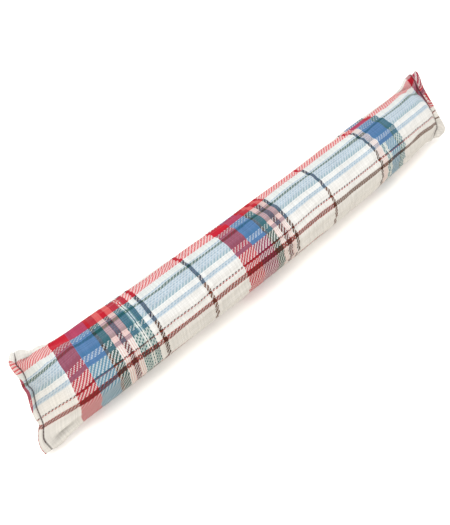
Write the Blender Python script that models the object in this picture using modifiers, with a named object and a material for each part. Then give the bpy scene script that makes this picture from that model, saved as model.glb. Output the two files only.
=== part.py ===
"""Draught excluder: a long, filled cloth tube lying on its side, closed at each end by a flat
seam with a turned margin beyond it. The ears of each seam stand out past the round body."""
import math

import bmesh
import bpy

# Sizes in metres. X runs along the tube, Y across it, Z up, and the tube rests on Z = 0.
TUBE_WIDTH = 0.1126
TUBE_HEIGHT = 0.1062
REST_DIP = 0.0020
REST_ANGLE = math.radians(270.0)
REST_HALF_ANGLE = math.radians(30.0)
BACK_FOLD_ANGLE = math.radians(22.0)
FRONT_FOLD_ANGLE = math.radians(202.0)

# The cage: columns run along the tube and rings go round it. The lower half has columns down the
# front, columns under the flat resting strip, and columns up the back.
COLUMNS = 28
HALF = COLUMNS // 2
FRONT_STEPS = 4
REST_STEPS = 4
BACK_STEPS = 6
BODY_RINGS = 15

# How the round body closes on each seam: shares of the way from the seam to the round body.
LEFT_REACH = 0.062
RIGHT_REACH = 0.072
CLOSING_SHARES = (0.05, 0.16, 0.32, 0.54, 0.78)
FOLD_SHARPNESS = 0.7

# The margin beyond each seam: share of its depth and thickness there.
MARGIN_COLUMNS = ("depth_share", "thickness")
MARGIN_TABLE = (
    (0.00, 0.0040),
    (0.40, 0.0074),
    (0.85, 0.0074),
    (1.00, 0.0046),
)
EAR_POINT = 0.0060

# The seam lines, from the back ear to the front ear, and how deep the margin is beyond them.
SEAM_COLUMNS = ("share", "x", "y", "z", "margin_depth")
LEFT_SEAM_TABLE = (
    (0.00, -0.4310, 0.0725, 0.0815, 0.0100),
    (0.20, -0.4320, 0.0490, 0.0705, 0.0100),
    (0.40, -0.4370, 0.0220, 0.0580, 0.0095),
    (0.60, -0.4480, -0.0035, 0.0460, 0.0095),
    (0.80, -0.4570, -0.0220, 0.0325, 0.0100),
    (1.00, -0.4620, -0.0460, 0.0160, 0.0110),
)
RIGHT_SEAM_TABLE = (
    (0.00, 0.4520, 0.0670, 0.0895, 0.0090),
    (0.20, 0.4370, 0.0360, 0.0720, 0.0090),
    (0.42, 0.4300, 0.0100, 0.0580, 0.0100),
    (0.64, 0.4255, -0.0150, 0.0430, 0.0125),
    (0.84, 0.4195, -0.0350, 0.0290, 0.0145),
    (1.00, 0.4070, -0.0500, 0.0200, 0.0150),
)

# How the filling lies along the body: place, and how far it stands out to the side and up.
FILLING_COLUMNS = ("place", "width_share", "height_share", "drift")
FILLING_TABLE = (
    (0.00, 0.970, 0.990, 0.0040),
    (0.12, 0.982, 1.000, 0.0022),
    (0.30, 0.984, 0.992, -0.0008),
    (0.50, 0.998, 0.996, -0.0026),
    (0.66, 1.002, 0.996, -0.0018),
    (0.82, 1.000, 0.998, 0.0008),
    (1.00, 0.938, 0.985, 0.0042),
)


def clear_scene():
    for item in list(bpy.data.objects):
        bpy.data.objects.remove(item, do_unlink=True)


def smooth_value(table, place, column):
    """The value of one column at a place, along a smooth curve through the rows."""
    count = len(table)
    row = 0
    while row < count - 2 and place > table[row + 1][0]:
        row += 1
    before = table[max(row - 1, 0)]
    start = table[row]
    end = table[row + 1]
    after = table[min(row + 2, count - 1)]
    span = end[0] - start[0]
    part = min(max((place - start[0]) / span, 0.0), 1.0)
    slope_start = (end[column] - before[column]) / (end[0] - before[0]) * span
    slope_end = (after[column] - start[column]) / (after[0] - start[0]) * span
    square = part * part
    cube = square * part
    return (
        (2 * cube - 3 * square + 1) * start[column]
        + (cube - 2 * square + part) * slope_start
        + (3 * square - 2 * cube) * end[column]
        + (cube - square) * slope_end
    )


def column_angle(index):
    """The angle round the body of a cage column. Both folds and the resting strip's sides fall on
    columns."""
    stops = (
        (0, BACK_FOLD_ANGLE),
        (HALF, FRONT_FOLD_ANGLE),
        (HALF + FRONT_STEPS, REST_ANGLE - REST_HALF_ANGLE),
        (HALF + FRONT_STEPS + REST_STEPS, REST_ANGLE + REST_HALF_ANGLE),
        (COLUMNS, BACK_FOLD_ANGLE + 2 * math.pi),
    )
    for start, end in zip(stops, stops[1:]):
        if index <= end[0]:
            share = (index - start[0]) / (end[0] - start[0])
            return start[1] + share * (end[1] - start[1])
    return stops[-1][1]


def seam_share(index):
    """Where a column meets the seam: 0 at the back ear and 1 at the front ear."""
    if index <= HALF:
        return index / HALF
    return (COLUMNS - index) / HALF


def body_point(index, place):
    """A point of the round body, with the underside pressed flat where it rests."""
    angle = column_angle(index)
    width = TUBE_WIDTH * smooth_value(FILLING_TABLE, place, 1)
    height = TUBE_HEIGHT * smooth_value(FILLING_TABLE, place, 2)
    drift = smooth_value(FILLING_TABLE, place, 3)
    centre = height / 2 - REST_DIP / 2
    radius = height / 2 + REST_DIP / 2
    y = drift + width / 2 * math.cos(angle)
    z = centre + radius * math.sin(angle)
    if HALF + FRONT_STEPS <= index <= COLUMNS - BACK_STEPS:
        z = 0.0
    return y, z


def seam_point(table, index):
    share = seam_share(index)
    return tuple(smooth_value(table, share, column) for column in (1, 2, 3))


def seam_lean(table):
    """The direction across the seam, as seen along the tube."""
    rise = table[0][3] - table[-1][3]
    run = table[0][2] - table[-1][2]
    length = math.hypot(rise, run)
    return run / length, rise / length


def thickness_side(index):
    """Which way a column stands off the middle of the margin, and how much."""
    angle = 2 * math.pi * index / COLUMNS
    return max(-1.0, min(1.0, 2.2 * math.sin(angle)))


def margin_ring(table, outward, row):
    depth_share, thickness = row
    run, rise = seam_lean(table)
    ring = []
    for index in range(COLUMNS):
        x, y, z = seam_point(table, index)
        share = seam_share(index)
        depth = smooth_value(table, share, 4)
        ear = EAR_POINT * depth_share * (abs(2 * share - 1) ** 3)
        side = 1.0 if share < 0.5 else -1.0
        offset = thickness_side(index) * thickness / 2
        ring.append(
            (
                x + outward * depth * depth_share,
                y - rise * offset + side * ear * run,
                z + run * offset + side * ear * rise,
            )
        )
    return ring


def closing_ring(table, place, body_x, share):
    """A ring between the flat seam and the round body. The cloth slopes away from the middle of the
    seam and rounds over into the body. Along the folds it fills out later, so the ears stand out."""
    crown_fill = math.sin(0.5 * math.pi * share)
    fold_fill = share * share * (3 - 2 * share)
    run, rise = seam_lean(table)
    ring = []
    for index in range(COLUMNS):
        x, y, z = seam_point(table, index)
        body_y, body_z = body_point(index, place)
        crown = abs(math.sin(2 * math.pi * index / COLUMNS)) ** FOLD_SHARPNESS
        fill = fold_fill + (crown_fill - fold_fill) * crown
        offset = thickness_side(index) * MARGIN_TABLE[0][1] / 2 * (1 - fill)
        ring.append(
            (
                x + (body_x - x) * share,
                (y - rise * offset) * (1 - fill) + body_y * fill,
                (z + run * offset) * (1 - fill) + body_z * fill,
            )
        )
    return ring


def all_rings():
    left_x = LEFT_SEAM_TABLE[2][1] + LEFT_REACH
    right_x = RIGHT_SEAM_TABLE[2][1] - RIGHT_REACH
    rings = []
    for row in reversed(MARGIN_TABLE):
        rings.append(margin_ring(LEFT_SEAM_TABLE, -1.0, row))
    for share in CLOSING_SHARES:
        rings.append(closing_ring(LEFT_SEAM_TABLE, 0.0, left_x, share))
    for step in range(BODY_RINGS):
        place = step / (BODY_RINGS - 1)
        x = left_x + place * (right_x - left_x)
        rings.append([(x,) + body_point(index, place) for index in range(COLUMNS)])
    for share in reversed(CLOSING_SHARES):
        rings.append(closing_ring(RIGHT_SEAM_TABLE, 1.0, right_x, share))
    for row in MARGIN_TABLE:
        rings.append(margin_ring(RIGHT_SEAM_TABLE, 1.0, row))
    return rings


def cap_faces(ring, first_to_last):
    """Faces that close the thin edge of a margin, from the upper columns to the lower ones."""
    faces = []
    for index in range(HALF):
        upper = [ring[index], ring[index + 1]]
        lower = [ring[COLUMNS - index - 1], ring[(COLUMNS - index) % COLUMNS]]
        corners = []
        for corner in upper + lower:
            if corner not in corners:
                corners.append(corner)
        if not first_to_last:
            corners.reverse()
        faces.append(corners)
    return faces


def build_tube(collection, material):
    mesh = bpy.data.meshes.new("filled_tube")
    shell = bmesh.new()
    rings = [[shell.verts.new(point) for point in ring] for ring in all_rings()]
    for near, far in zip(rings, rings[1:]):
        for index in range(COLUMNS):
            following = (index + 1) % COLUMNS
            shell.faces.new((near[index], far[index], far[following], near[following]))
    for corners in cap_faces(rings[0], True) + cap_faces(rings[-1], False):
        shell.faces.new(corners)
    bmesh.ops.recalc_face_normals(shell, faces=shell.faces)
    shell.to_mesh(mesh)
    shell.free()
    mesh.materials.append(material)
    tube = bpy.data.objects.new("filled_tube", mesh)
    collection.objects.link(tube)
    soften = tube.modifiers.new("soften", "SUBSURF")
    soften.levels = 1
    soften.render_levels = 1
    bpy.context.view_layer.update()
    settle(tube)
    return tube


def settle(tube):
    """Put the middle of the tube's box over the origin, with its underside on Z = 0."""
    graph = bpy.context.evaluated_depsgraph_get()
    shape = tube.evaluated_get(graph).to_mesh()
    points = [vertex.co.copy() for vertex in shape.vertices]
    tube.evaluated_get(graph).to_mesh_clear()
    middle_x = (min(p.x for p in points) + max(p.x for p in points)) / 2
    middle_y = (min(p.y for p in points) + max(p.y for p in points)) / 2
    lowest = min(p.z for p in points)
    for vertex in tube.data.vertices:
        vertex.co.x -= middle_x
        vertex.co.y -= middle_y
        vertex.co.z -= lowest
    for face in tube.data.polygons:
        face.use_smooth = True
    tube.data.update()


def cloth_material():
    material = bpy.data.materials.new("cover_cloth")
    material.use_nodes = True
    shader = material.node_tree.nodes["Principled BSDF"]
    shader.inputs["Base Color"].default_value = (0.80, 0.76, 0.70, 1.0)
    shader.inputs["Roughness"].default_value = 0.92
    return material


def main():
    clear_scene()
    collection = bpy.data.collections.new("draught_excluder")
    bpy.context.scene.collection.children.link(collection)
    build_tube(collection, cloth_material())


main()
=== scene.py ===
import math

import bpy
import numpy as np
from mathutils import Matrix, Vector


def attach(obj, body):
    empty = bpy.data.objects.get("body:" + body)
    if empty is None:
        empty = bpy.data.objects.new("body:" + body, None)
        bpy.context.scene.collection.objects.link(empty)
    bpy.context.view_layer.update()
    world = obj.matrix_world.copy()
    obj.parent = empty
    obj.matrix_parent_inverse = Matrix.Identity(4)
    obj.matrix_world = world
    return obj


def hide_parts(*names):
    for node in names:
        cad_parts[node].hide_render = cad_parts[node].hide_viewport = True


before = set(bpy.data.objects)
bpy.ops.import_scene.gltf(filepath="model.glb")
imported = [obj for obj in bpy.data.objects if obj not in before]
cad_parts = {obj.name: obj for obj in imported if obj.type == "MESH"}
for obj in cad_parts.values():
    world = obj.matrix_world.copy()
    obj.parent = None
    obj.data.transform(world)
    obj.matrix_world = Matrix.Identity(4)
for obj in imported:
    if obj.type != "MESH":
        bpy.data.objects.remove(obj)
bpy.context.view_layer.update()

# The body, in metres, as the solid has it: X along the tube, Y across it, the rest at Z = 0.
TUBE_WIDTH = 0.1126
TUBE_HEIGHT = 0.1062
SHIFT_X = 0.00676
SHIFT_Y = -0.00775
BACK_FOLD = math.radians(22.0)
BODY_LEFT = -0.3640
BODY_RIGHT = 0.3625

# place along the body, width share, height share, drift towards the back
FILLING = (
    (0.00, 0.970, 0.990, 0.0040),
    (0.12, 0.982, 1.000, 0.0022),
    (0.30, 0.984, 0.992, -0.0008),
    (0.50, 0.998, 0.996, -0.0026),
    (0.66, 1.002, 0.996, -0.0018),
    (0.82, 1.000, 0.998, 0.0008),
    (1.00, 0.938, 0.985, 0.0042),
)

# share along the seam from the back ear, seam x y z, edge x y z
LEFT_SEAM = (
    (0.00, -0.4206, 0.0606, 0.0802, -0.4218, 0.0636, 0.0808),
    (0.03, -0.4218, 0.0598, 0.0792, -0.4250, 0.0652, 0.0800),
    (0.08, -0.4243, 0.0576, 0.0770, -0.4296, 0.0654, 0.0779),
    (0.16, -0.4277, 0.0520, 0.0727, -0.4346, 0.0592, 0.0735),
    (0.24, -0.4267, 0.0428, 0.0680, -0.4360, 0.0477, 0.0686),
    (0.32, -0.4280, 0.0343, 0.0630, -0.4355, 0.0373, 0.0630),
    (0.40, -0.4315, 0.0251, 0.0580, -0.4386, 0.0276, 0.0578),
    (0.48, -0.4306, 0.0173, 0.0532, -0.4395, 0.0176, 0.0530),
    (0.56, -0.4348, 0.0079, 0.0484, -0.4439, 0.0069, 0.0480),
    (0.64, -0.4396, -0.0016, 0.0433, -0.4478, -0.0033, 0.0427),
    (0.70, -0.4431, -0.0142, 0.0393, -0.4502, -0.0133, 0.0385),
    (0.76, -0.4460, -0.0238, 0.0352, -0.4502, -0.0200, 0.0346),
    (0.82, -0.4511, -0.0297, 0.0309, -0.4579, -0.0266, 0.0300),
    (0.88, -0.4566, -0.0367, 0.0259, -0.4637, -0.0353, 0.0250),
    (0.94, -0.4571, -0.0423, 0.0210, -0.4665, -0.0438, 0.0198),
    (1.00, -0.4562, -0.0475, 0.0160, -0.4658, -0.0523, 0.0145),
)
RIGHT_SEAM = (
    (0.00, 0.4378, 0.0461, 0.0895, 0.4560, 0.0540, 0.0892),
    (0.03, 0.4371, 0.0420, 0.0869, 0.4606, 0.0516, 0.0880),
    (0.06, 0.4368, 0.0373, 0.0842, 0.4612, 0.0465, 0.0852),
    (0.12, 0.4336, 0.0272, 0.0790, 0.4549, 0.0345, 0.0796),
    (0.20, 0.4317, 0.0165, 0.0720, 0.4502, 0.0231, 0.0722),
    (0.28, 0.4306, 0.0070, 0.0669, 0.4471, 0.0108, 0.0667),
    (0.36, 0.4284, -0.0043, 0.0618, 0.4434, -0.0013, 0.0614),
    (0.44, 0.4265, -0.0135, 0.0566, 0.4410, -0.0125, 0.0560),
    (0.52, 0.4253, -0.0215, 0.0512, 0.4390, -0.0214, 0.0504),
    (0.60, 0.4249, -0.0272, 0.0457, 0.4387, -0.0291, 0.0447),
    (0.68, 0.4245, -0.0329, 0.0402, 0.4385, -0.0371, 0.0390),
    (0.76, 0.4237, -0.0381, 0.0346, 0.4385, -0.0451, 0.0332),
    (0.84, 0.4217, -0.0423, 0.0290, 0.4369, -0.0526, 0.0275),
    (0.90, 0.4151, -0.0446, 0.0256, 0.4325, -0.0561, 0.0240),
    (0.96, 0.4091, -0.0456, 0.0222, 0.4232, -0.0568, 0.0206),
    (1.00, 0.4027, -0.0474, 0.0200, 0.4132, -0.0548, 0.0186),
)
CREASE_THICK = 0.0012
EAR_CLOSE = 0.045
LEFT_EAR_FILL = 0.0034
RIGHT_EAR_FILL = 0.0062

# share along the seam, thickness of the rolled margin
LEFT_ROLL = (
    (0.00, 0.0084),
    (0.08, 0.0112),
    (0.20, 0.0082),
    (0.40, 0.0072),
    (0.60, 0.0076),
    (0.74, 0.0066),
    (0.88, 0.0090),
    (1.00, 0.0100),
)
RIGHT_ROLL = (
    (0.00, 0.0072),
    (0.10, 0.0088),
    (0.30, 0.0078),
    (0.60, 0.0078),
    (0.85, 0.0086),
    (1.00, 0.0096),
)

# The soft folds: end, share of the closing (0 at the seam), turn in degrees from the back fold, slant
# in degrees over the closing, half length, half width in degrees, height in metres.
FOLDS = (
    ("left", 0.12, 180.0, 0.0, 0.20, 11.0, 0.0062),
    ("left", 0.34, 175.0, 0.0, 0.26, 9.0, 0.0040),
    ("left", 0.26, 169.0, -16.0, 0.28, 4.2, -0.0040),
    ("left", 0.14, 4.0, 0.0, 0.16, 10.0, 0.0046),
    ("left", 0.22, 20.0, -30.0, 0.20, 4.5, -0.0038),
    ("left", 0.33, -4.0, 0.0, 0.13, 6.0, -0.0036),
    ("left", 0.50, 8.0, 0.0, 0.14, 7.0, 0.0030),
    ("left", 0.70, 0.0, 0.0, 0.12, 7.0, -0.0026),
    ("right", 0.22, 176.0, 0.0, 0.24, 10.0, 0.0046),
    ("right", 0.26, 158.0, 10.0, 0.26, 4.5, -0.0034),
    ("right", 0.18, 0.0, 0.0, 0.24, 9.0, 0.0076),
    ("right", 0.12, 9.0, 34.0, 0.17, 4.2, -0.0042),
    ("right", 0.42, 9.0, -22.0, 0.30, 4.2, -0.0042),
    ("right", 0.12, 38.0, 0.0, 0.12, 7.0, -0.0020),
)

# The closed corners: end, turn in degrees from the back fold, and how far each stands out, across and
# up, in metres.
CORNERS = (
    ("left", 0.0, 0.0044, 0.0024),
    ("left", 180.0, -0.0046, -0.0012),
    ("right", 0.0, 0.0072, 0.0030),
    ("right", 180.0, -0.0030, -0.0006),
)
CORNER_SPREAD = 8.0
CORNER_REACH = 0.0055
CORNER_LIMIT = 3.5

# The mesh: columns run along the cloth, and each row goes round it.
COLUMNS = 112
CLOSING_ROWS = 26
BODY_ROWS = 150
MARGIN_ROWS = 9

# The cloth is blown out a little over the filling, and only a small movement of it is kept.
SIM_FRAMES = 20
SIM_PRESSURE = 4.0
SIM_SLACK = 0.35
SIM_MOST = 0.0032
SIM_HELD_ROWS = 3
SIM_ROWS_OVER = 60
SIM_COLUMNS_OVER = 40

# The cloth. Threads are counted along it from the left red stripe's left side, and round it from 44
# degrees up the back. MM is one chart millimetre in metres.
MM = 0.9055e-3
ROUND_MM = 377.0
THREADS_ROUND = 224
THREAD_MM = ROUND_MM / THREADS_ROUND
CENTRE_MM = 123.0

# The yarns, as linear colours.
CREAM = (0.905, 0.890, 0.855)
RED = (0.720, 0.014, 0.036)
CRIMSON = (0.540, 0.014, 0.038)
BLUE = (0.070, 0.205, 0.440)
TEAL = (0.020, 0.120, 0.135)
SEA = (0.030, 0.150, 0.230)
BLACK = (0.045, 0.022, 0.016)
GREEN = (0.030, 0.130, 0.120)
MINT = (0.680, 0.770, 0.760)
WHITE = (0.820, 0.845, 0.840)
SKY = (0.270, 0.440, 0.610)
HAZE = (0.405, 0.565, 0.695)
SAGE = (0.200, 0.380, 0.480)
PEACH = (0.850, 0.500, 0.450)
PALE_TEAL = (0.330, 0.500, 0.470)
NAVY = (0.030, 0.050, 0.110)
BRICK = (0.430, 0.040, 0.030)
BROWN = (0.120, 0.042, 0.026)
UMBER = (0.160, 0.060, 0.028)
WINE = (0.170, 0.030, 0.060)
AQUA = (0.070, 0.265, 0.410)
MAUVE = (0.310, 0.030, 0.095)
CLARET = (0.400, 0.016, 0.055)
MOSS = (0.030, 0.080, 0.062)
DARK_BROWN = (0.055, 0.020, 0.014)

# The yarns along the tube: thread at which the stripe ends, colours of its even and odd threads.
WARP = (
    (15, RED, RED),
    (22, MINT, WHITE),
    (24, SKY, HAZE),
    (27, GREEN, GREEN),
    (36, HAZE, SKY),
    (39, SAGE, SAGE),
    (44, WHITE, WHITE),
    (48, SKY, HAZE),
    (58, CREAM, CREAM),
    (59, BLACK, BLACK),
    (60, BRICK, BRICK),
    (66, CREAM, CREAM),
    (71, BRICK, BROWN),
    (100, CREAM, CREAM),
    (105, BRICK, BROWN),
    (112, CREAM, CREAM),
    (113, BLACK, BLACK),
    (114, RED, RED),
    (124, CREAM, CREAM),
    (127, SKY, WHITE),
    (133, WHITE, WHITE),
    (136, SAGE, SAGE),
    (145, HAZE, SKY),
    (148, GREEN, GREEN),
    (156, MINT, WHITE),
    (174, RED, RED),
    (222, CREAM, CREAM),
    (224, RED, RED),
)
# The yarns round the tube: thread at which the stripe ends, colours of its even and odd threads, and
# the same two again for the lower front.
WEFT = (
    (-48, CRIMSON, CRIMSON, CRIMSON, CRIMSON),
    (0, CREAM, CREAM, CREAM, CREAM),
    (19, CLARET, CLARET, CRIMSON, CRIMSON),
    (39, BLUE, BLUE, AQUA, AQUA),
    (42, BLACK, BLACK, BLACK, UMBER),
    (49, TEAL, TEAL, TEAL, MOSS),
    (55, PEACH, PEACH, PEACH, CREAM),
    (60, BLACK, WINE, UMBER, WINE),
    (66, PEACH, PEACH, PEACH, CREAM),
    (73, TEAL, SEA, TEAL, PALE_TEAL),
    (75, CREAM, PALE_TEAL, CREAM, PALE_TEAL),
    (76, GREEN, GREEN, GREEN, GREEN),
    (78, CREAM, PALE_TEAL, CREAM, PALE_TEAL),
    (83, TEAL, SEA, TEAL, PALE_TEAL),
    (89, CREAM, CREAM, CREAM, CREAM),
    (93, BLACK, NAVY, BLACK, UMBER),
    (148, CREAM, CREAM, CREAM, CREAM),
    (152, BLACK, NAVY, UMBER, UMBER),
    (193, CREAM, CREAM, CREAM, CREAM),
    (213, CLARET, CLARET, CRIMSON, CRIMSON),
    (232, BLUE, BLUE, MAUVE, MAUVE),
    (235, BLACK, BLACK, BLACK, UMBER),
    (242, TEAL, TEAL, MOSS, MOSS),
    (248, PEACH, PEACH, PEACH, CREAM),
    (254, BLACK, WINE, UMBER, WINE),
    (260, PEACH, PEACH, PEACH, CREAM),
    (264, BLACK, NAVY, BLACK, UMBER),
    (320, CREAM, CREAM, CREAM, CREAM),
    (324, BLACK, NAVY, UMBER, UMBER),
    (402, CREAM, CREAM, CREAM, CREAM),
    (406, BLACK, NAVY, BLACK, UMBER),
    (415, CREAM, PEACH, CREAM, PEACH),
    (420, BLUE, BLUE, SEA, PALE_TEAL),
    (423, BLUE, BLUE, CREAM, PALE_TEAL),
    (439, BLUE, BLUE, AQUA, AQUA),
    (441, GREEN, GREEN, GREEN, GREEN),
    (449, SEA, TEAL, SEA, PALE_TEAL),
    (558, CREAM, CREAM, CREAM, CREAM),
    (610, CLARET, CLARET, CRIMSON, CRIMSON),
)

# Where the charts begin and end, and the threads that one colour ramp can hold.
WEFT_FIRST = -70
WEFT_LAST = 610
RAMP_THREADS = 85

# Rows round the tube, by their place in the repeat of its threads.
LOW_FIRST = 48
LOW_LAST = 126
GREEN_FIRST = 24
GREEN_LAST = 27
HAZE_FIRST = 22
HAZE_LAST = 39
SKY_FIRST = 44
SKY_LAST = 48
RED_LAST = 15
RED_FIRST = 222
BROWN_FIRST = 66
BROWN_LAST = 71

# From this thread on the brown stripe is all umber.
BROWN_FROM = 322

# The cloth's tone over all.
CLOTH_TONE = 0.615

# How much of the crossing thread shows in the fibres, together with painted shade where the threads
# cross (the two yarns multiplied): everywhere, and on top of that for middle tones, and which tones
# are middle ones.
STAIN_AND_SHADE = 0.22
MIDDLE_STAIN_AND_SHADE = 0.52
MIDDLE_TONE = 0.5
MIDDLE_SPREAD = 0.2

# Threads of nearly the same tone hardly part to the eye. Full yarns cover the ones they cross: red and
# brown cover the weft, dark wefts cover the blue rows and darken the brown one, and pale rows get
# thinner on them. The blackest wefts leave more of the blue rows bare.
NEAR_BLEND = 0.46
NEAR_TONES = 0.62
RED_COVER = 0.62
HAZE_COVER = 0.55
BROWN_COVER = 0.14
DARK_COVER = 0.90
PALE_THIN = 0.13
BLACK_TONE = 0.055
BLACK_BARE = 0.6

# Painted shade: the cloth is painted darker and warmer towards the floor, standing in for the shade
# low on its front and the warm light bounced from the floor.
LOW_SHADE_TOP = 0.098
LOW_SHADE_BOTTOM = 0.062
LOW_SHADE_COLOUR = (0.905, 0.870, 0.825)

# The underside where it rests: how far the round would dip, how softly it turns, and how far it sinks.
REST_DIP = 0.0022
REST_SOFTNESS = 0.0022
REST_SINK = 0.0004

# How the ends close: how quickly the two faces part at a fold, how sharp the fold is, the least
# thickness added in the margin, and how even the rings are spread.
FOLD_QUICKNESS = 5.0
FOLD_SHARPNESS = 0.7
MARGIN_EXTRA = 0.0004
CLOSING_EVEN = 0.30

# How the soft folds fade along and across, which of them are sharp enough to get painted shade, and
# how much painted shade lies in the sharp folds and in the seams' creases.
FOLD_START = 0.06
FOLD_FADE = 2.0
SHARP_FOLD = 5.0
SHADE_FADE = 2.5
SHADE_SPREAD = 3.4
FOLD_SHADE = 0.6
CREASE_SHADE = ((0, 1.0), (1, 0.7), (-1, 0.7))

# The chart, in chart millimetres: along the cloth, and round it from 44 degrees up the back.
CHART_FROM = 44.0
CHART_RADIUS = 60.0
BACK_END = -23.0
FRONT_FOLD = 165.0
RED_LEFT = 320.5
UV_THREADS = 100.0
LOWER_FROM = 25
LOWER_TO_BROWN = 89.0
SHEAR_MIDDLE = 97
CHART_BLEND = 0.8
MARGIN_TURN = 0.04
LEFT_SEAM_ALONG = -392.5

# place along the cloth, how far the stripe has drifted round it
LOWER_DRIFT = (
    (-350, -13.5), (-316, -10.1), (-270, -3.5), (-222, -0.4), (-180, 2.0), (-128, 1.3),
    (-33, -2.4), (61, -3.9), (174, -8.1), (316, -5.0), (457, -6.5), (516, -7.1),
)
BROWN_DRIFT = (
    (-350, -3.0), (-270, -0.1), (-222, -0.4), (-180, 0.6), (-128, -0.6), (-33, -2.6),
    (61, -4.4), (174, -6.8), (316, -3.1), (457, 2.5), (516, 3.6),
)
# place along the cloth, how much the stripes round it slant
SHEAR = ((-310, 0.132), (-250, 0.085), (-170, 0.045), (-67, 0.0))

# share along the seam, place round the cloth that meets it there on the upper side
LEFT_SEAM_ROUND = (
    (0, -23.5), (0.12, -3.4), (0.27, 25.2), (0.39, 43.5), (0.54, 65.6), (0.63, 78.0),
    (0.71, 99.3), (0.78, 115.3), (1.0, 165.0),
)
RIGHT_SEAM_ROUND = (
    (0, -23.5), (0.052, 25), (0.098, 42), (0.40, 65.6), (0.485, 79), (0.62, 99.3),
    (0.745, 115.3), (1.0, 165),
)
RIGHT_MARGIN_ROUND = (
    (0, -40), (0.16, -12), (0.19, 40), (0.21, 46), (0.24, 82), (0.46, 92), (0.505, 97.6),
    (0.530, 101.5), (0.630, 110.5), (0.652, 119.5), (1.0, 165),
)
# share along the seam, place along the cloth of the right seam, and how much cloth each margin has
RIGHT_SEAM_ALONG = ((0, 655), (0.10, 650), (0.36, 636), (0.46, 614), (1, 600))
LEFT_MARGIN_ALONG = ((0, 6), (0.30, 6), (0.36, 17), (0.60, 17), (0.66, 8), (0.80, 9.5), (1.0, 10))
RIGHT_MARGIN_ALONG = ((0, 9), (0.42, 9), (0.48, 3), (1, 3))

# The stitches, in metres, and the share of the seam from which and to which they run.
STITCH_LENGTH = 0.0034
STITCH_GAP = 0.0010
STITCH_RADIUS = 0.00062
STITCH_LIFT = 0.0011
STITCH_INWARD = 0.0004
STITCH_AHEAD = 0.0004
STITCH_FROM = 0.07
STITCH_TO = 0.95
STITCH_SIDES = 6
# share along a stitch, share of its radius, how deep it sinks
STITCH_SHAPE = (
    (0.0, 0.35, 0.0007),
    (0.15, 0.9, 0.0002),
    (0.5, 1.0, 0.0),
    (0.85, 0.9, 0.0002),
    (1.0, 0.35, 0.0007),
)

# The weave: threads in one repeat, how many of them the yarn along the tube floats over, how wide it
# shows, how the crowns of the threads stand up, and the painted shade that their crowns and gaps get.
REPEAT = 4.0
FLOAT = 2.0
WARP_HALF = 0.41
WARP_ROUND = 2.2
WEFT_ROUND = 2.0
CROWN_LEAST = 0.35
CROWN_MORE = 0.65
THREAD_SHADE_LEAST = 0.84
THREAD_SHADE_MORE = 0.22
# How dark the painted shade in the creases and sharp folds is.
PRESS_SHADE = 0.72

# The photo's camera, in metres, and its picture's longer side and focal length, in pixels.
CAMERA_PLACE = (-0.45195, -0.38285, 0.78686)
CAMERA_AIM = (0.3936, 0.4192, -0.818)
PICTURE_SIDE = 525
FOCAL_PIXELS = 578.42
SENSOR_MM = 36.0


def smooth_column(table, places, column):
    """One column of a table at many places, along a smooth curve through the rows."""
    knots = np.array([row[0] for row in table], float)
    values = np.array([row[column] for row in table], float)
    slopes = np.empty_like(values)
    slopes[1:-1] = (values[2:] - values[:-2]) / (knots[2:] - knots[:-2])
    slopes[0] = (values[1] - values[0]) / (knots[1] - knots[0])
    slopes[-1] = (values[-1] - values[-2]) / (knots[-1] - knots[-2])
    places = np.clip(np.asarray(places, float), knots[0], knots[-1])
    row = np.clip(np.searchsorted(knots, places, side="right") - 1, 0, len(knots) - 2)
    span = knots[row + 1] - knots[row]
    part = (places - knots[row]) / span
    square = part * part
    cube = square * part
    return (
        (2 * cube - 3 * square + 1) * values[row]
        + (cube - 2 * square + part) * slopes[row] * span
        + (3 * square - 2 * cube) * values[row + 1]
        + (cube - square) * slopes[row + 1] * span
    )


def straight(table, places):
    """The value at each place, along straight lines through a table of pairs."""
    knots, values = zip(*table)
    return np.interp(places, knots, values)


ALPHA = 2 * np.pi * np.arange(COLUMNS) / COLUMNS
TURN = np.degrees(ALPHA)
SHARE = np.where(ALPHA <= np.pi, ALPHA / np.pi, 2 - ALPHA / np.pi)
ANGLE = BACK_FOLD + ALPHA
ARC = (np.degrees(ANGLE) - CHART_FROM) * CHART_RADIUS * math.pi / 180


def body_ring(place):
    """The body's section at a place along it, pressed flat underneath."""
    width = TUBE_WIDTH * smooth_column(FILLING, [place], 1)[0]
    height = TUBE_HEIGHT * smooth_column(FILLING, [place], 2)[0]
    drift = smooth_column(FILLING, [place], 3)[0] + SHIFT_Y
    y = drift + width / 2 * np.cos(ANGLE)
    radius = height / 2 + REST_DIP
    z = height - radius + radius * np.sin(ANGLE)
    z = 0.5 * (z + np.sqrt(z * z + REST_SOFTNESS ** 2)) - REST_SINK
    return y, np.maximum(z, 0.0)


def seam_points(table, shares):
    """Points of the seam and of the margin's edge at many shares along the seam."""
    seam = np.stack([smooth_column(table, shares, k) for k in (1, 2, 3)], 1)
    edge = np.stack([smooth_column(table, shares, k) for k in (4, 5, 6)], 1)
    return seam, edge


def lean(table):
    """The direction straight up out of the seam's plane, as seen along the tube."""
    rise = table[0][3] - table[-1][3]
    run = table[0][2] - table[-1][2]
    size = math.hypot(rise, run)
    return np.array([0.0, -rise / size, run / size])


def side_of_plane():
    """Plus one over the seam's plane and minus one under it, turning quickly at the two folds."""
    turn = np.clip(FOLD_QUICKNESS * np.sin(ALPHA), -1, 1)
    return np.sign(turn) * np.abs(turn) ** FOLD_SHARPNESS


def crease_half(table):
    """Half the thickness in the crease. It is pressed flat, but the ears close over it."""
    back = LEFT_EAR_FILL if table is LEFT_SEAM else RIGHT_EAR_FILL
    ears = back * np.exp(-((SHARE / EAR_CLOSE) ** 2))
    ears += LEFT_EAR_FILL * np.exp(-(((1 - SHARE) / EAR_CLOSE) ** 2))
    return CREASE_THICK / 2 + ears


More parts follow.
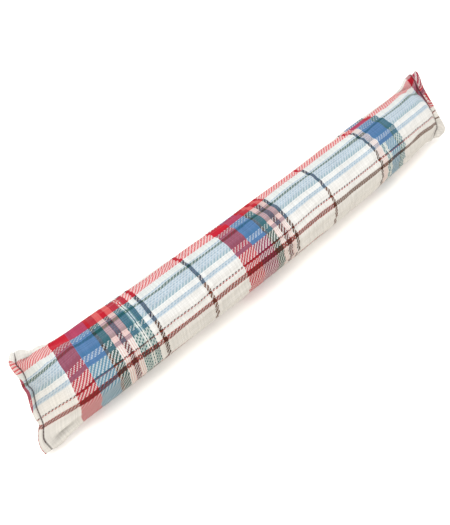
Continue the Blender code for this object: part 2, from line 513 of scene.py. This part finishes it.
def margin_rows(table, rolls):
    """Rings from the seam's crease round the rolled margin."""
    seam, edge = seam_points(table, SHARE)
    up = lean(table)
    side = side_of_plane()
    thick = smooth_column(rolls, SHARE, 1)
    rings = []
    for k in range(MARGIN_ROWS + 1):
        depth = (1 - math.cos(math.pi * k / MARGIN_ROWS)) / 2
        bulge = math.sqrt(max(0.0, 1 - (2 * depth - 1) ** 2))
        half = np.maximum(thick / 2 * bulge, crease_half(table) * (1 - depth) + MARGIN_EXTRA)
        middle = seam + (edge - seam) * depth
        rings.append((middle + up[None, :] * (side * half)[:, None], depth))
    return rings


def closing_fraction(count):
    """Shares of the way from the seam, close together beside it."""
    steps = np.arange(1, count) / count
    return CLOSING_EVEN * steps + (1 - CLOSING_EVEN) * steps ** 2


def fold_place(fold, part):
    """Where one ring passes a fold: how far along it, and each column's degrees away from it."""
    middle, angle, slant, reach = fold[1:5]
    along = (part - middle) / reach
    away = (TURN - angle - slant * (part - middle) + 180.0) % 360.0 - 180.0
    return along, away


def fold_height(end, part):
    """Height of the soft folds over one ring of a closing end."""
    height = np.zeros(COLUMNS)
    for fold in FOLDS:
        if fold[0] != end:
            continue
        spread, rise = fold[5:]
        along, away = fold_place(fold, part)
        height += rise * math.exp(-along * along * FOLD_FADE) * np.exp(-((away / spread) ** 2))
    return height * min(1.0, part / FOLD_START)


def fold_shade(end, part):
    """How much painted shade the sharp folds put on one ring, from 0 to 1."""
    shade = np.zeros(COLUMNS)
    for fold in FOLDS:
        spread, rise = fold[5:]
        if fold[0] != end or rise > 0 or spread > SHARP_FOLD:
            continue
        along, away = fold_place(fold, part)
        shade += math.exp(-along * along * SHADE_FADE) * np.exp(-((away / SHADE_SPREAD) ** 2))
    return shade


def stand_corners(rings, crease_row, end):
    """The closed corners bulge a little where the seam runs out."""
    for where, angle, across, upward in CORNERS:
        if where != end:
            continue
        away = (TURN - angle + 180.0) % 360.0 - 180.0
        column = int(round(angle / 360.0 * COLUMNS)) % COLUMNS
        middle = rings[crease_row][column, 0]
        for ring in rings:
            far = abs(ring[column, 0] - middle)
            if far > CORNER_LIMIT * CORNER_REACH:
                continue
            weight = math.exp(-((far / CORNER_REACH) ** 2)) * np.exp(-((away / CORNER_SPREAD) ** 2))
            ring[:, 1] += across * weight
            ring[:, 2] = np.maximum(ring[:, 2] + upward * weight, 0.0)


def closing_rows(table, end, place, body_x):
    """Rings from beside the seam to the round body."""
    seam = seam_points(table, SHARE)[0]
    up = lean(table)
    body = np.stack([np.full(COLUMNS, body_x), *body_ring(place)], 1)
    side = side_of_plane()
    crown = np.abs(np.sin(ALPHA)) ** FOLD_SHARPNESS
    rings = []
    for part in closing_fraction(CLOSING_ROWS):
        crown_fill = math.sin(0.5 * math.pi * part)
        fold_fill = part * part * (3 - 2 * part)
        fill = fold_fill + (crown_fill - fold_fill) * crown
        ring = np.empty((COLUMNS, 3))
        ring[:, 0] = seam[:, 0] + (body[:, 0] - seam[:, 0]) * part
        for axis in (1, 2):
            edge_line = seam[:, axis] + up[axis] * side * crease_half(table)
            ring[:, axis] = edge_line * (1 - fill) + body[:, axis] * fill
        height = fold_height(end, part)
        ring[:, 1] += height * np.cos(ANGLE)
        ring[:, 2] = np.maximum(ring[:, 2] + height * np.sin(ANGLE), 0.0)
        rings.append((ring, part))
    return rings


def chart_x(x):
    """A place along the tube in chart millimetres."""
    return (x - SHIFT_X) / MM + CENTRE_MM


def chart_body(x):
    """Where the cloth's own threads lie round the body at a place along it."""
    along = chart_x(x)
    across = np.clip((ARC - LOWER_FROM) / LOWER_TO_BROWN, 0, 1)
    drift = straight(LOWER_DRIFT, along) * (1 - across) + straight(BROWN_DRIFT, along) * across
    wrapped = np.where(ARC > FRONT_FOLD, 2 * FRONT_FOLD - ARC, np.clip(ARC, BACK_END, FRONT_FOLD))
    return along - straight(SHEAR, along) * (SHEAR_MIDDLE - wrapped), ARC - drift


def mirrored(table):
    """Places round the cloth at each column: a table on the upper side, its mirror underneath."""
    upper = straight(table, SHARE)
    return np.where(np.arange(COLUMNS) <= COLUMNS // 2, upper, 2 * FRONT_FOLD - upper)


def closing_charts(rings, seam_u, seam_v, body_u, body_v):
    """The rings of a closing end, with the chart places between the seam's and the body's."""
    rows = []
    for ring, part in rings:
        share = part ** CHART_BLEND
        u = seam_u * (1 - share) + body_u * share
        v = seam_v * (1 - share) + body_v * share
        rows.append((ring, u, v))
    return rows


def left_rows():
    """The left margin and closing, from the edge to the body: points and chart places."""
    seam_u = np.full(COLUMNS, LEFT_SEAM_ALONG)
    seam_v = mirrored(LEFT_SEAM_ROUND)
    margin_u = straight(LEFT_MARGIN_ALONG, SHARE)
    rows = []
    for ring, depth in reversed(margin_rows(LEFT_SEAM, LEFT_ROLL)):
        rows.append((ring, seam_u - margin_u * depth, seam_v))
    rings = closing_rows(LEFT_SEAM, "left", 0.0, BODY_LEFT)
    return rows + closing_charts(rings, seam_u, seam_v, *chart_body(BODY_LEFT))


def body_rows():
    """The round body: points and chart places."""
    rows = []
    for index, x in enumerate(np.linspace(BODY_LEFT, BODY_RIGHT, BODY_ROWS)):
        y, z = body_ring(index / (BODY_ROWS - 1))
        rows.append((np.stack([np.full(COLUMNS, x), y, z], 1), *chart_body(x)))
    return rows


def right_rows():
    """The right closing and margin, from the body to the edge: points and chart places."""
    seam_u = straight(RIGHT_SEAM_ALONG, SHARE)
    seam_v = mirrored(RIGHT_SEAM_ROUND)
    margin_u = straight(RIGHT_MARGIN_ALONG, SHARE)
    margin_v = mirrored(RIGHT_MARGIN_ROUND)
    rings = list(reversed(closing_rows(RIGHT_SEAM, "right", 1.0, BODY_RIGHT)))
    rows = closing_charts(rings, seam_u, seam_v, *chart_body(BODY_RIGHT))
    for ring, depth in margin_rows(RIGHT_SEAM, RIGHT_ROLL):
        turned = min(1.0, depth / MARGIN_TURN)
        rows.append((ring, seam_u + margin_u * depth, seam_v + (margin_v - seam_v) * turned))
    return rows


def grid_corners(count):
    """Each face as its corners' rows and columns. The last column of a row is the first again."""
    corners = []
    for r in range(count - 1):
        for c in range(COLUMNS):
            corners.append(((r, c), (r + 1, c), (r + 1, c + 1), (r, c + 1)))
    for row, step in ((0, 1), (count - 1, -1)):
        for c in range(COLUMNS // 2):
            loop = (c, c + 1, COLUMNS - c - 1, (COLUMNS - c) % COLUMNS)
            loop = list(dict.fromkeys(loop))[::step]
            corners.append(tuple((row, k) for k in loop))
    return corners


def painted_crease_shade_rows(count):
    """The painted shade in the seams' creases and in the sharp folds, from 0 to 1."""
    crease_and_fold_shading = np.zeros((count, COLUMNS))
    for crease in (MARGIN_ROWS, count - 1 - MARGIN_ROWS):
        for step, value in CREASE_SHADE:
            crease_and_fold_shading[crease + step] = value
    for index, part in enumerate(closing_fraction(CLOSING_ROWS)):
        crease_and_fold_shading[MARGIN_ROWS + 1 + index] += FOLD_SHADE * fold_shade("left", part)
        crease_and_fold_shading[count - 2 - MARGIN_ROWS - index] += FOLD_SHADE * fold_shade("right", part)
    return np.minimum(crease_and_fold_shading, 1.0)


def build_cover():
    """The cloth as a grid of rows round the tube, with its threads' places as a texture map and the
    painted shade of its creases and folds as an attribute.
    """
    rows = left_rows() + body_rows() + right_rows()
    count = len(rows)
    rings, us, vs = zip(*rows)
    stand_corners(rings, MARGIN_ROWS, "left")
    stand_corners(rings, count - 1 - MARGIN_ROWS, "right")
    corners = grid_corners(count)
    faces = [tuple(r * COLUMNS + c % COLUMNS for r, c in loop) for loop in corners]
    mesh = bpy.data.meshes.new("cloth_tube")
    mesh.from_pydata([tuple(point) for point in np.concatenate(rings)], [], faces)
    places = []
    for loop in corners:
        for r, c in loop:
            turn = ROUND_MM if c == COLUMNS else 0.0
            places.append((us[r][c % COLUMNS] + RED_LEFT, vs[r][c % COLUMNS] + turn))
    layer = mesh.uv_layers.new(name="threads")
    layer.data.foreach_set("uv", (np.array(places) / THREAD_MM / UV_THREADS).ravel())
    # The painted shade of the creases and sharp folds, kept on the points.
    painted_crease_shade = mesh.attributes.new("painted_crease_shade", "FLOAT", "POINT")
    painted_crease_shade.data.foreach_set("value", painted_crease_shade_rows(count).ravel())
    mesh.update()
    cover = bpy.data.objects.new("cloth_tube", mesh)
    bpy.context.scene.collection.objects.link(cover)
    for face in mesh.polygons:
        face.use_smooth = True
    return cover, count


def spread_evenly(field, rows_over, columns_over):
    """A field on the grid, softened along the cloth and round it."""
    soft = field.copy()
    for _ in range(rows_over):
        ends = np.concatenate([soft[:1], soft, soft[-1:]])
        soft = (ends[:-2] + 2 * ends[1:-1] + ends[2:]) / 4
    for _ in range(columns_over):
        soft = (np.roll(soft, 1, 1) + 2 * soft + np.roll(soft, -1, 1)) / 4
    return soft


def cloth_lengths(points):
    """The same grid laid as a plain sleeve, with the slack that the closed ends take up."""
    count = len(points)
    steps = np.linalg.norm(np.diff(points, axis=0), axis=2)
    first = MARGIN_ROWS + CLOSING_ROWS
    last = count - 1 - MARGIN_ROWS - CLOSING_ROWS
    longest = steps.max(axis=1, keepdims=True)
    near_end = np.ones((count - 1, 1))
    near_end[first:last] = 0.0
    eased = steps + (longest - steps) * SIM_SLACK * near_end
    along = np.concatenate([np.zeros((1, COLUMNS)), np.cumsum(eased, axis=0)])
    along -= along[count // 2][None, :]
    radius = ROUND_MM * MM / (2 * math.pi)
    sleeve = np.empty_like(points)
    sleeve[:, :, 0] = along
    sleeve[:, :, 1] = radius * np.cos(ANGLE)[None, :]
    sleeve[:, :, 2] = radius * np.sin(ANGLE)[None, :]
    return sleeve


def cloth_modifier(cover, rest):
    """A light, fairly stiff cloth under a little pressure, held at both seams."""
    cloth = cover.modifiers.new("blow", "CLOTH")
    settings = cloth.settings
    settings.quality = 5
    settings.mass = 0.02
    settings.air_damping = 2.0
    settings.tension_stiffness = 20.0
    settings.compression_stiffness = 20.0
    settings.shear_stiffness = 8.0
    settings.bending_stiffness = 0.08
    settings.use_pressure = True
    settings.uniform_pressure_force = SIM_PRESSURE
    settings.vertex_group_mass = "hold"
    settings.pin_stiffness = 1.0
    settings.rest_shape_key = rest
    settings.effector_weights.gravity = 0.0
    cloth.collision_settings.use_self_collision = False
    cloth.point_cache.frame_start = 1
    cloth.point_cache.frame_end = SIM_FRAMES
    return cloth


def blow_out(cover, count):
    """Cloth simulation over the filling, with a small part of its movement kept on the mesh."""
    mesh = cover.data
    size = len(mesh.vertices)
    start = np.empty(size * 3)
    mesh.vertices.foreach_get("co", start)
    start = start.reshape(count, COLUMNS, 3)
    cover.shape_key_add(name="start")
    rest = cover.shape_key_add(name="sleeve")
    rest.data.foreach_set("co", cloth_lengths(start).ravel())
    hold = cover.vertex_groups.new(name="hold")
    held = list(range((MARGIN_ROWS + SIM_HELD_ROWS) * COLUMNS))
    held += list(range((count - MARGIN_ROWS - SIM_HELD_ROWS) * COLUMNS, count * COLUMNS))
    hold.add(held, 1.0, "REPLACE")
    cloth = cloth_modifier(cover, rest)
    scene = bpy.context.scene
    for frame_number in range(1, SIM_FRAMES + 1):
        scene.frame_set(frame_number)
    graph = bpy.context.evaluated_depsgraph_get()
    moved = np.empty(size * 3)
    cover.evaluated_get(graph).data.vertices.foreach_get("co", moved)
    moved = moved.reshape(count, COLUMNS, 3)
    cover.modifiers.remove(cloth)
    cover.shape_key_clear()
    cover.vertex_groups.clear()
    scene.frame_set(1)
    shift = moved - start
    shift -= spread_evenly(shift, SIM_ROWS_OVER, SIM_COLUMNS_OVER)
    reach = np.linalg.norm(shift, axis=2, keepdims=True)
    shift *= SIM_MOST * np.tanh(reach / SIM_MOST) / np.maximum(reach, 1e-9)
    shift[:MARGIN_ROWS + 1] = 0
    shift[count - MARGIN_ROWS - 1:] = 0
    placed = start + shift
    placed[:, :, 2] = np.maximum(placed[:, :, 2], 0.0)
    mesh.vertices.foreach_set("co", placed.ravel())
    mesh.update()


def finish_mesh(cover):
    """Refine the cloth once and apply it."""
    bpy.context.view_layer.objects.active = cover
    refine = cover.modifiers.new("refine", "SUBSURF")
    refine.levels = 1
    refine.render_levels = 1
    refine.uv_smooth = "NONE"
    bpy.ops.object.select_all(action="DESELECT")
    cover.select_set(True)
    bpy.ops.object.modifier_apply(modifier="refine")


def stitch_rings(line, far, begin, up):
    """The rings of one stitch that begins at a distance along the line."""
    def at(distance):
        return np.array([np.interp(distance, far, line[:, k]) for k in range(3)])

    rings = []
    for share, swell, sink in STITCH_SHAPE:
        where = begin + STITCH_LENGTH * share
        centre = at(where) - up * sink
        axis = at(where + STITCH_AHEAD) - at(where - STITCH_AHEAD)
        axis /= np.linalg.norm(axis)
        across = np.cross(axis, up)
        across /= np.linalg.norm(across)
        over = np.cross(across, axis)
        ring = []
        for side in range(STITCH_SIDES):
            turn = 2 * math.pi * side / STITCH_SIDES
            spoke = across * math.cos(turn) + over * math.sin(turn)
            ring.append(centre + spoke * STITCH_RADIUS * swell)
        rings.append(ring)
    return rings


def stitch_faces(base):
    """The faces of one stitch whose first point has the number base."""
    sides = STITCH_SIDES
    faces = []
    for r in range(len(STITCH_SHAPE) - 1):
        here = base + r * sides
        beyond = here + sides
        for side in range(sides):
            following = (side + 1) % sides
            faces.append((here + side, here + following, beyond + following, beyond + side))
    last = base + (len(STITCH_SHAPE) - 1) * sides
    faces.append(tuple(range(base, base + sides))[::-1])
    faces.append(tuple(range(last, last + sides)))
    return faces


def stitch_line(name, table, sign):
    """Short stitches lying in the crease, on the upper or the lower side."""
    seam, edge = seam_points(table, np.linspace(STITCH_FROM, STITCH_TO, 600))
    up = lean(table) * sign
    outward = edge - seam
    outward /= np.linalg.norm(outward, axis=1, keepdims=True)
    line = seam - outward * STITCH_INWARD + up[None, :] * (CREASE_THICK / 2 + STITCH_LIFT)
    far = np.concatenate([[0.0], np.cumsum(np.linalg.norm(np.diff(line, axis=0), axis=1))])
    points = []
    faces = []
    begin = 0.0
    while begin + STITCH_LENGTH < far[-1]:
        faces.extend(stitch_faces(len(points)))
        for ring in stitch_rings(line, far, begin, up):
            points.extend(ring)
        begin += STITCH_LENGTH + STITCH_GAP
    mesh = bpy.data.meshes.new(name)
    mesh.from_pydata([tuple(point) for point in points], [], faces)
    for face in mesh.polygons:
        face.use_smooth = True
    stitches = bpy.data.objects.new(name, mesh)
    bpy.context.scene.collection.objects.link(stitches)
    return stitches


class Nodes:
    """Short calls for building a shader."""

    def __init__(self, material):
        material.use_nodes = True
        self.tree = material.node_tree
        self.tree.nodes.clear()

    def add(self, kind, **settings):
        node = self.tree.nodes.new(kind)
        for name, value in settings.items():
            setattr(node, name, value)
        return node

    def link(self, source, target):
        self.tree.links.new(source, target)

    def put(self, socket, value):
        if hasattr(value, "is_output"):
            self.link(value, socket)
        else:
            socket.default_value = value

    def math(self, operation, a, b=None):
        node = self.add("ShaderNodeMath", operation=operation)
        self.put(node.inputs[0], a)
        if b is not None:
            self.put(node.inputs[1], b)
        return node.outputs[0]

    def plus(self, first, *others):
        for other in others:
            first = self.math("ADD", first, other)
        return first

    def times(self, first, *others):
        for other in others:
            first = self.math("MULTIPLY", first, other)
        return first

    def minus(self, a, b):
        return self.math("SUBTRACT", a, b)

    def mod(self, a, b):
        return self.math("FLOORED_MODULO", a, b)

    def bell(self, value, power):
        """One at nought, falling to nought on both sides."""
        return self.math("EXPONENT", self.times(self.math("POWER", value, power), -1.0))

    def mix(self, factor, a, b, blend="MIX"):
        node = self.add("ShaderNodeMix", data_type="RGBA", blend_type=blend)
        self.put(node.inputs[0], factor)
        self.put(node.inputs[6], a if hasattr(a, "is_output") else (*a, 1.0))
        self.put(node.inputs[7], b if hasattr(b, "is_output") else (*b, 1.0))
        return node.outputs[2]

    def split(self, vector):
        node = self.add("ShaderNodeSeparateXYZ")
        self.link(vector, node.inputs[0])
        return node.outputs

    def ramp(self, position, table, first, last, column):
        """A hard-edged colour table over a short run of threads."""
        node = self.add("ShaderNodeValToRGB")
        node.color_ramp.interpolation = "CONSTANT"
        elements = node.color_ramp.elements
        while len(elements) > 1:
            elements.remove(elements[-1])
        elements[0].position = 0.0
        begun = False
        start = first
        for row in table:
            if row[0] <= first:
                continue
            if not begun:
                elements[0].color = (*row[column], 1.0)
                begun = True
            elif start < last:
                elements.new((start - first) / (last - first)).color = (*row[column], 1.0)
            start = row[0]
        share = self.math("DIVIDE", self.minus(position, float(first)), float(last - first))
        self.link(share, node.inputs[0])
        return node.outputs[0]

    def stripes(self, position, table, first, last, column):
        """A long colour table in runs short enough to keep every thread."""
        colour = None
        start = first
        while start < last:
            stop = min(start + RAMP_THREADS, last)
            run = self.ramp(position, table, start, stop, column)
            if colour is None:
                colour = run
            else:
                colour = self.mix(self.math("GREATER_THAN", position, float(start)), colour, run)
            start = stop
        return colour

    def noise(self, vector, scale, detail=2.0, rough=0.5):
        node = self.add("ShaderNodeTexNoise")
        self.put(node.inputs["Vector"], vector)
        node.inputs["Scale"].default_value = scale
        node.inputs["Detail"].default_value = detail
        node.inputs["Roughness"].default_value = rough
        return node.outputs["Fac"]

    def about_nought(self, value, size):
        """A value from 0 to 1, brought to lie about nought with a given full size."""
        return self.times(self.minus(value, 0.5), size)

    def between(self, value, low, high):
        """One where the value lies between two limits, and nought elsewhere."""
        above = self.math("GREATER_THAN", value, float(low))
        return self.times(above, self.math("LESS_THAN", value, float(high)))

    def grey(self, colour):
        node = self.add("ShaderNodeRGBToBW")
        self.link(colour, node.inputs[0])
        return node.outputs[0]

    def random(self, value, seed):
        node = self.add("ShaderNodeTexWhiteNoise", noise_dimensions="1D")
        self.put(node.inputs["W"], self.plus(value, seed))
        return node.outputs["Value"]

    def finish(self, shader):
        output = self.add("ShaderNodeOutputMaterial")
        self.link(shader.outputs[0], output.inputs[0])


def groove_shaded_thread_material():
    """Sewing thread with a fine twist, coloured dark: partly the thread's own colour, partly painted
    shade of the seam's groove.
    """
    material = bpy.data.materials.new("sewing_thread_and_groove_shade")
    n = Nodes(material)
    twist = n.noise(n.add("ShaderNodeTexCoord").outputs["Object"], 1800.0)
    shader = n.add("ShaderNodeBsdfPrincipled")
    n.link(n.mix(twist, (0.045, 0.020, 0.022), (0.100, 0.050, 0.052)), shader.inputs["Base Color"])
    shader.inputs["Roughness"].default_value = 0.8
    bump = n.add("ShaderNodeBump")
    bump.inputs["Strength"].default_value = 0.4
    bump.inputs["Distance"].default_value = 0.0002
    n.link(twist, bump.inputs["Height"])
    n.link(bump.outputs[0], shader.inputs["Normal"])
    n.finish(shader)
    return material


class Threads:
    """Which threads cross at a point. The weft's are counted by i along the tube, and the warp's by
    j round it."""

    def __init__(self, n, place):
        layer = n.split(n.add("ShaderNodeUVMap", uv_map="threads").outputs[0])
        wander = [n.about_nought(n.noise(place, scale), 0.8) for scale in (60.0, 83.0)]
        self.u = n.plus(n.times(layer[0], UV_THREADS), wander[0])
        self.v = n.plus(n.times(layer[1], UV_THREADS), wander[1])
        self.i = n.math("FLOOR", self.u)
        self.j = n.math("FLOOR", self.v)
        self.i_middle = n.plus(self.i, 0.5)
        j_middle = n.plus(self.j, 0.5)
        self.row = n.mod(j_middle, float(THREADS_ROUND))
        self.i_odd = n.math("GREATER_THAN", n.mod(self.i_middle, 2.0), 1.0)
        self.j_odd = n.math("GREATER_THAN", n.mod(j_middle, 2.0), 1.0)
        self.warp_across = n.math("ABSOLUTE", n.minus(n.minus(self.v, self.j), 0.5))
        self.weft_across = n.math("ABSOLUTE", n.minus(n.minus(self.u, self.i), 0.5))
        self.brown = n.between(self.row, BROWN_FIRST, BROWN_LAST)
        self.full = n.plus(self.brown, n.between(self.row, GREEN_FIRST, GREEN_LAST))


def yarn_colours(n, threads):
    """The colours of the two yarns that cross, and how dark the weft is."""
    row = threads.row
    even, odd = [n.stripes(row, WARP, 0, THREADS_ROUND, column) for column in (1, 2)]
    warp = n.mix(threads.j_odd, even, odd)
    far = n.math("GREATER_THAN", threads.i, float(BROWN_FROM))
    warp = n.mix(n.times(threads.brown, far), warp, UMBER)
    runs = [n.stripes(threads.i_middle, WEFT, WEFT_FIRST, WEFT_LAST, k) for k in (1, 2, 3, 4)]
    upper = n.mix(threads.i_odd, runs[0], runs[1])
    lower = n.mix(threads.i_odd, runs[2], runs[3])
    weft = n.mix(n.between(row, LOW_FIRST, LOW_LAST), upper, lower)
    return warp, weft, n.minus(1.0, n.grey(weft))


def covered_colours(n, threads, warp, weft, depth):
    """The same two colours where one yarn partly covers the other."""
    row = threads.row
    red_rows = n.minus(1.0, n.between(row, RED_LAST, RED_FIRST))
    covered = n.times(red_rows, RED_COVER, n.times(depth, depth))
    covered = n.plus(covered, n.times(threads.full, BROWN_COVER))
    haze_rows = n.between(row, HAZE_FIRST, HAZE_LAST)
    blue_rows = n.plus(haze_rows, n.between(row, SKY_FIRST, SKY_LAST))
    bare = n.times(n.math("LESS_THAN", n.grey(weft), BLACK_TONE), BLACK_BARE)
    hidden = n.times(blue_rows, HAZE_COVER, n.minus(1.0, bare), depth)
    darkened = n.times(threads.brown, DARK_COVER, n.math("POWER", depth, 5.0))
    shown_warp = n.mix(darkened, n.mix(hidden, warp, weft), DARK_BROWN)
    return shown_warp, n.mix(covered, weft, warp)


def warp_shows(n, threads, depth):
    """One where the yarn along the tube lies on top: a 2/2 twill, and 3/1 in the full rows."""
    step = n.mod(n.plus(threads.i, threads.j, 0.5), REPEAT)
    warp_over = n.math("LESS_THAN", step, n.plus(FLOAT, threads.full))
    mint_rows = n.between(threads.row, RED_LAST, HAZE_FIRST)
    pale_rows = n.plus(mint_rows, n.between(threads.row, HAZE_LAST, SKY_FIRST))
    half = n.minus(WARP_HALF, n.times(pale_rows, depth, PALE_THIN))
    return n.times(warp_over, n.math("LESS_THAN", threads.warp_across, half))


def blended_colour(n, threads, warp, weft, show_warp):
    """The yarn on top, with some of the other one in its fibres and painted shade where the two cross.
    """
    over = n.mix(show_warp, weft, warp)
    under = n.mix(show_warp, warp, weft)
    # The two yarns multiplied: fibre stain and painted shade where the threads cross.
    stained_and_shaded = n.mix(1.0, over, under, "MULTIPLY")
    apart = n.math("DIVIDE", n.minus(n.grey(over), n.grey(under)), NEAR_TONES)
    near = n.bell(n.math("ABSOLUTE", apart), 4.0)
    soft = n.mix(n.times(near, NEAR_BLEND, n.minus(1.0, threads.full)), over, under)
    off_middle = n.math("DIVIDE", n.minus(n.grey(soft), MIDDLE_TONE), MIDDLE_SPREAD)
    middle = n.bell(n.math("ABSOLUTE", off_middle), 2.0)
    return n.mix(n.plus(STAIN_AND_SHADE, n.times(middle, MIDDLE_STAIN_AND_SHADE)), soft, stained_and_shaded)


def thread_height(n, threads, show_warp):
    """How high the yarn on top stands: round across, and crowned along its float."""
    warp_run = n.math("DIVIDE", n.mod(n.plus(threads.u, threads.j), REPEAT), FLOAT)
    weft_run = n.math("DIVIDE", n.minus(n.mod(n.plus(threads.v, threads.i), REPEAT), FLOAT), FLOAT)
    heights = []
    for run, across, narrow in (
        (weft_run, threads.weft_across, WEFT_ROUND),
        (warp_run, threads.warp_across, WARP_ROUND),
    ):
        crown = n.math("SINE", n.times(run, math.pi))
        rounded = n.minus(1.0, n.math("POWER", n.times(across, narrow), 2.0))
        heights.append(n.times(n.plus(CROWN_LEAST, n.times(crown, CROWN_MORE)), rounded))
    pick = n.add("ShaderNodeMix", data_type="FLOAT")
    n.link(show_warp, pick.inputs[0])
    n.link(heights[0], pick.inputs[2])
    n.link(heights[1], pick.inputs[3])
    return n.math("MAXIMUM", pick.outputs[0], 0.0)


def cloth_tone(n, threads, place, height):
    """How light the cloth is: painted shade between the threads' crowns, their unevenness, fibre, and
    painted shade in the creases and folds.
    """
    # Painted shade: the threads' gaps and the ends of their floats are painted darker.
    shade = n.plus(THREAD_SHADE_LEAST * CLOTH_TONE, n.times(height, THREAD_SHADE_MORE * CLOTH_TONE))
    uneven_i = n.about_nought(n.random(threads.i, 3.7), 0.08)
    uneven_j = n.about_nought(n.random(threads.j, 91.3), 0.06)
    fibre = n.about_nought(n.noise(place, 2600.0, 3.0, 0.7), 0.22)
    cloud = n.about_nought(n.noise(place, 18.0, 3.0), 0.07)
    # Painted shade in the seams' creases and the sharp folds.
    painted_crease_shade = n.add("ShaderNodeAttribute", attribute_name="painted_crease_shade").outputs["Fac"]
    lit = n.minus(1.0, n.times(painted_crease_shade, PRESS_SHADE))
    return n.times(n.plus(shade, uneven_i, uneven_j, fibre, cloud), lit)


def painted_low_shade(n, place, colour):
    """The colour painted darker and warmer towards the floor: painted shade with warm bounce light."""
    lifted = n.add("ShaderNodeMapRange", interpolation_type="SMOOTHSTEP")
    n.link(n.split(place)[2], lifted.inputs[0])
    lifted.inputs[1].default_value = LOW_SHADE_BOTTOM
    lifted.inputs[2].default_value = LOW_SHADE_TOP
    return n.mix(1.0, colour, n.mix(lifted.outputs[0], LOW_SHADE_COLOUR, (1.0, 1.0, 1.0)), "MULTIPLY")


def twill_material():
    """The tartan, worked out thread by thread from the two stripe tables."""
    material = bpy.data.materials.new("tartan_twill")
    n = Nodes(material)
    place = n.add("ShaderNodeTexCoord").outputs["Object"]
    threads = Threads(n, place)
    warp, weft, depth = yarn_colours(n, threads)
    show_warp = warp_shows(n, threads, depth)
    warp, weft = covered_colours(n, threads, warp, weft, depth)
    colour = blended_colour(n, threads, warp, weft, show_warp)
    height = thread_height(n, threads, show_warp)
    scaled = n.add("ShaderNodeVectorMath", operation="SCALE")
    # The colour gets painted shade, darker and warmer towards the floor.
    n.link(painted_low_shade(n, place, colour), scaled.inputs[0])
    n.link(cloth_tone(n, threads, place, height), scaled.inputs["Scale"])
    bump = n.add("ShaderNodeBump")
    bump.inputs["Strength"].default_value = 0.45
    bump.inputs["Distance"].default_value = 0.0004
    fuzz = n.times(n.noise(place, 1500.0, 2.0, 0.6), 0.35)
    n.link(n.plus(height, fuzz), bump.inputs["Height"])
    shader = n.add("ShaderNodeBsdfPrincipled")
    n.link(scaled.outputs[0], shader.inputs["Base Color"])
    shader.inputs["Roughness"].default_value = 0.92
    shader.inputs["Specular IOR Level"].default_value = 0.10
    shader.inputs["Sheen Weight"].default_value = 0.05
    shader.inputs["Sheen Roughness"].default_value = 0.45
    shader.inputs["Sheen Tint"].default_value = (1.0, 0.98, 0.96, 1.0)
    n.link(bump.outputs[0], shader.inputs["Normal"])
    n.finish(shader)
    return material


def make_camera():
    """The photo's camera."""
    data = bpy.data.cameras.new("camera")
    camera = bpy.data.objects.new("camera", data)
    bpy.context.scene.collection.objects.link(camera)
    forward = Vector(CAMERA_AIM).normalized()
    right = forward.cross(Vector((0, 0, 1))).normalized()
    up = right.cross(forward)
    turn = Matrix((right, up, -forward)).transposed()
    camera.matrix_world = Matrix.Translation(CAMERA_PLACE) @ turn.to_4x4()
    data.sensor_fit = "AUTO"
    data.sensor_width = SENSOR_MM
    data.lens = FOCAL_PIXELS / PICTURE_SIDE * SENSOR_MM
    data.clip_start = 0.01
    bpy.context.scene.camera = camera


def make_floor():
    """A warm white ground just under the tube."""
    mesh = bpy.data.meshes.new("floor")
    far = 6.0
    outline = [(-far, -far, 0), (far, -far, 0), (far, far, 0), (-far, far, 0)]
    mesh.from_pydata(outline, [], [(0, 1, 2, 3)])
    floor = bpy.data.objects.new("floor", mesh)
    bpy.context.scene.collection.objects.link(floor)
    floor.location.z = -0.0002
    material = bpy.data.materials.new("floor_paper")
    n = Nodes(material)
    shader = n.add("ShaderNodeBsdfPrincipled")
    shader.inputs["Base Color"].default_value = (0.95, 0.925, 0.88, 1.0)
    shader.inputs["Roughness"].default_value = 0.9
    shader.inputs["Specular IOR Level"].default_value = 0.1
    n.finish(shader)
    mesh.materials.append(material)


def area_light(name, place, target, size, power):
    data = bpy.data.lights.new(name, "AREA")
    data.shape = "DISK"
    data.size = size
    data.energy = power
    light = bpy.data.objects.new(name, data)
    light.location = place
    aim = Vector(target) - Vector(place)
    light.rotation_euler = aim.to_track_quat("-Z", "Y").to_euler()
    bpy.context.scene.collection.objects.link(light)


def make_light():
    """White light from all round, and a soft lamp above."""
    world = bpy.data.worlds.new("studio")
    bpy.context.scene.world = world
    world.use_nodes = True
    background = world.node_tree.nodes["Background"]
    background.inputs[0].default_value = (1.0, 1.0, 1.0, 1.0)
    background.inputs[1].default_value = 1.45
    area_light("key", (-0.6, 0.2, 2.4), (0, 0, 0), 1.5, 30.0)


bpy.context.scene.view_settings.view_transform = "Standard"
make_camera()
make_light()
make_floor()
cover, row_count = build_cover()
blow_out(cover, row_count)
finish_mesh(cover)
cover.data.materials.clear()
cover.data.materials.append(twill_material())
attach(cover, "root")
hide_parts("filled_tube")
# The stitches' dark thread also paints the shade in the seams' grooves.
thread = groove_shaded_thread_material()
for name, table, sign in (
    ("left_stitches_top", LEFT_SEAM, 1.0),
    ("left_stitches_under", LEFT_SEAM, -1.0),
    ("right_stitches_top", RIGHT_SEAM, 1.0),
    ("right_stitches_under", RIGHT_SEAM, -1.0),
):
    stitches = stitch_line(name, table, sign)
    stitches.data.materials.append(thread)
    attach(stitches, "root")
